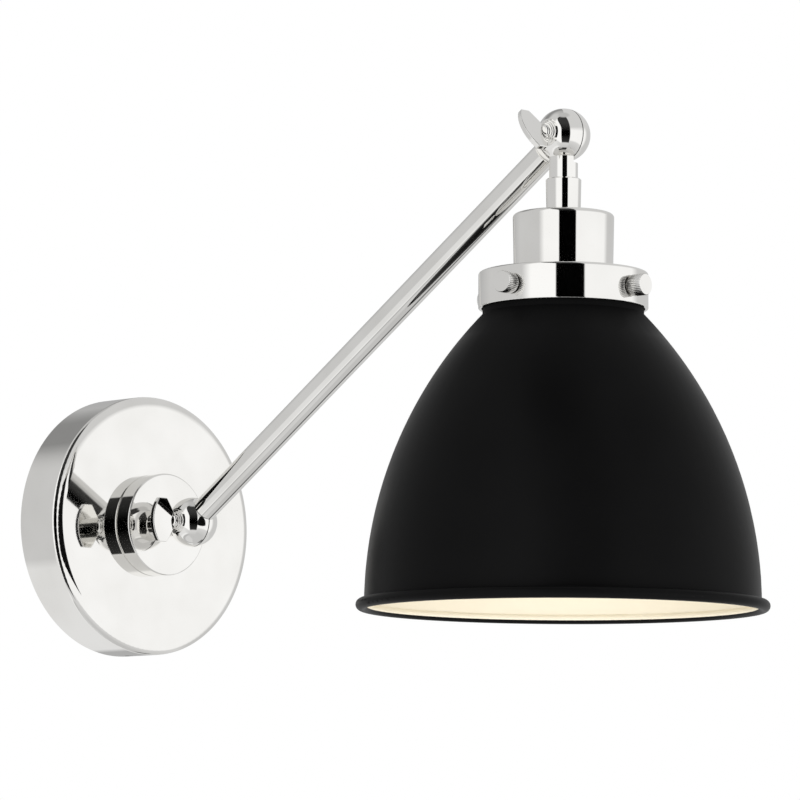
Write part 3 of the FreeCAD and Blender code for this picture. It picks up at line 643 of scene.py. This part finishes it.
class LAMP_OT_studio(bpy.types.Operator):
    """Set up the camera, floor, lamps and surroundings"""

    bl_idname = "wall_lamp.studio"
    bl_label = "Studio"

    def execute(self, context):
        studio = context.scene.lamp_studio
        context.scene.view_settings.view_transform = "Standard"
        self.camera(context, studio)
        self.floor(context, studio)
        self.room(context, studio)
        middle = Vector((0, -0.18, 0.06))
        shade_mouth = Vector((0, -0.30, 0.0))
        for name, place, target, size, power in (
                ("key_lamp", (-1.6, -1.3, 0.9), middle, 1.4, studio.key_power),
                ("fill_lamp", (1.5, -1.4, 0.2), middle, 1.2, studio.fill_power),
                ("bounce_lamp", (-0.55, -0.86, -1.1), shade_mouth, 1.6, studio.bounce_power)):
            self.lamp(context, name, Vector(place), target, size, power)
        return {"FINISHED"}

    def camera(self, context, studio):
        """A long lens that looks up at the lamp from the left."""
        data = bpy.data.cameras.new("photo_camera")
        data.sensor_width = 36.0
        data.lens = studio.camera_lens
        data.clip_start, data.clip_end = 0.05, 50.0
        camera = bpy.data.objects.new("photo_camera", data)
        look = Matrix.Rotation(studio.camera_azimuth, 4, "Z")
        look = look @ Matrix.Rotation(math.pi / 2 + studio.camera_pitch, 4, "X")
        look = look @ Matrix.Rotation(studio.camera_roll, 4, "Z")
        camera.matrix_world = Matrix.Translation(studio.camera_place) @ look
        context.scene.collection.objects.link(camera)
        context.scene.camera = camera

    def floor(self, context, studio):
        """A floor that keeps out of the polished metal's reflections."""
        bm = bmesh.new()
        bmesh.ops.create_circle(bm, cap_ends=True, radius=9.0, segments=64)
        bmesh.ops.translate(bm, vec=(0, 0, -studio.floor_drop), verts=bm.verts)
        mesh = bpy.data.meshes.new("floor")
        bm.to_mesh(mesh)
        bm.free()

        def paint(wire):
            cloud = noise(wire, 1.5, detail=2.0)
            colour = studio.floor_colour
            return {"Base Color": mixed(wire, cloud, rgba(colour), rgba(colour, 0.98)),
                    "Roughness": 0.7 + 0.1 * cloud, "Specular IOR Level": 0.2}
        mesh.materials.append(finish("floor_paint", paint))
        floor = bpy.data.objects.new("floor", mesh)
        floor.visible_glossy = False
        context.scene.collection.objects.link(floor)

    def room(self, context, studio):
        """White behind the lamp, and all round it what its polished metal mirrors."""
        world = bpy.data.worlds.new("studio_room")
        world.use_nodes = True
        tree = world.node_tree
        tree.nodes.clear()
        wire = Wire(tree)
        x, y, z = axes(wire, "Generated")
        back = Vector((math.sin(studio.camera_azimuth), -math.cos(studio.camera_azimuth)))
        right = Vector((-back.y, back.x))
        # turn is the angle from the camera's side to the picture's right, and climb the angle up.
        turn = wire.maths("ARCTAN2", x * right.x + y * right.y, x * back.x + y * back.y)
        climb = wire.maths("ARCSINE", z)

        # The ground's edge is 40 degrees down, but 20 on the left and 30 on the right.
        left = 1 - past(turn, -45, -20)
        below = left * math.radians(20) + past(turn, 26, 30) * math.radians(10) - climb
        ground = self.ground(wire, turn, climb, left, below)
        mirrored = mixed(wire, past(below, 38, 43), self.walls(wire, turn, climb), ground)

        ray = wire.add("ShaderNodeLightPath").socket.node.outputs
        camera_ray, glossy_ray = (Wire(tree, ray[name]) for name in ("Is Camera Ray", "Is Glossy Ray"))
        plain = mixed(wire, camera_ray, grey(studio.room_light), grey(1.0))
        colour = mixed(wire, glossy_ray * (1 - camera_ray), plain, mirrored)
        shown = wire.add("ShaderNodeBackground", None, {"Color": colour, "Strength": 1.0})
        wire.add("ShaderNodeOutputWorld", None, {"Surface": shown})
        context.scene.world = world

    def walls(self, wire, turn, climb):
        """Grey walls, a wide white panel round the camera's side, a dark gap in it, and a ceiling."""
        def at(degrees):
            """Where a turn of so many degrees is on the ramp."""
            return degrees / 360 + 0.5

        walls = wire.add("ShaderNodeValToRGB", {"stops": [
            (at(-180), grey(0.42)), (at(180), grey(0.60)),
            (at(-150), grey(0.50)), (at(-120), grey(0.62)), (at(-60), grey(0.62)),
            (at(-47), grey(1.04)), (at(25), grey(1.04)), (at(27), grey(1.0)), (at(104), grey(1.0)),
            (at(118), grey(0.62)),
        ]}, {"Fac": turn / (2 * math.pi) + 0.5}, "Color")
        high_right = past(climb, 12, 26) * past(turn, 20, 24)
        walls = mixed(wire, high_right, walls, grey(0.66))
        far_corner = band(climb, 28, 38, 48, 60) * (1 - past(turn, -128, -108))
        walls = mixed(wire, far_corner, walls, grey(0.27))

        # The gap widens to the left as it climbs, and is black only at the lamp's own height.
        lean = past(climb, 15, 66) ** 2 * math.radians(45)
        gap = past(turn + lean, -13, -11.5) * (1 - past(turn, 25.5, 27.5))
        fade = past(wire.maths("ABSOLUTE", climb), 8, 45)
        walls = mixed(wire, gap, walls, mixed(wire, fade, grey(0.0), grey(0.04)))
        return mixed(wire, past(climb, 71, 78), walls, grey(0.52))

    def ground(self, wire, turn, climb, left, below):
        """Pale ground, with a light and a dark streak on the left and a darker strip on the right."""
        drop = 0 - climb
        ground = mixed(wire, past(below, 38, 66), grey(0.74), grey(0.58))
        streaks = wire.add("ShaderNodeValToRGB", {"stops": [
            (0.0, grey(0.78)), (1.0, grey(0.68)), (0.55, grey(0.80)), (0.59, grey(0.92)),
            (0.63, grey(0.92)), (0.66, grey(0.50)), (0.71, grey(0.50)), (0.75, grey(0.68)),
        ]}, {"Fac": drop / (math.pi / 2)}, "Color")
        ground = mixed(wire, left, ground, streaks)
        strip = band(turn, 126, 132, 156, 162) * band(drop, 48, 51, 57, 60)
        return mixed(wire, strip, ground, grey(0.15))

    def lamp(self, context, name, place, target, size, power):
        """A round lamp aimed at its target, unseen and unmirrored."""
        data = bpy.data.lights.new(name, "AREA")
        data.shape = "DISK"
        data.size = size
        data.energy = power
        lamp = bpy.data.objects.new(name, data)
        aim = (target - place).to_track_quat("-Z", "Y").to_matrix().to_4x4()
        lamp.matrix_world = Matrix.Translation(place) @ aim
        lamp.visible_glossy = False
        lamp.visible_camera = False
        context.scene.collection.objects.link(lamp)


# ---------------------------------------------------------------- panel and main
OPERATORS = (
    LAMP_OT_nickel, LAMP_OT_shade, LAMP_OT_hardware, LAMP_OT_thumbscrews,
    LAMP_OT_key_collars, LAMP_OT_shell_thread, LAMP_OT_nipple_thread, LAMP_OT_studio,
)


class LAMP_PT_sidebar(bpy.types.Panel):
    """Lists the lamp's pieces and settings"""

    bl_label = "Wall Lamp"
    bl_idname = "LAMP_PT_sidebar"
    bl_space_type = "VIEW_3D"
    bl_region_type = "UI"
    bl_category = "Wall Lamp"

    def draw(self, context):
        layout = self.layout
        for operator in OPERATORS:
            layout.operator(operator.bl_idname)
        scene = context.scene
        for group in (scene.lamp_sizes, scene.lamp_finishes, scene.lamp_studio):
            box = layout.box()
            for name in group.__annotations__:
                box.prop(group, name)


GROUPS = (LampSizes, LampFinishes, StudioSettings)
CLASSES = (*GROUPS, *OPERATORS, LAMP_PT_sidebar)


def register():
    for cls in CLASSES:
        bpy.utils.register_class(cls)
    bpy.types.Scene.lamp_sizes = PointerProperty(type=LampSizes)
    bpy.types.Scene.lamp_finishes = PointerProperty(type=LampFinishes)
    bpy.types.Scene.lamp_studio = PointerProperty(type=StudioSettings)


def unregister():
    del bpy.types.Scene.lamp_studio
    del bpy.types.Scene.lamp_finishes
    del bpy.types.Scene.lamp_sizes
    for cls in reversed(CLASSES):
        bpy.utils.unregister_class(cls)


def main():
    register()
    for operator in OPERATORS:
        group, name = operator.bl_idname.split(".")
        getattr(getattr(bpy.ops, group), name)()


if __name__ == "__main__":
    main()
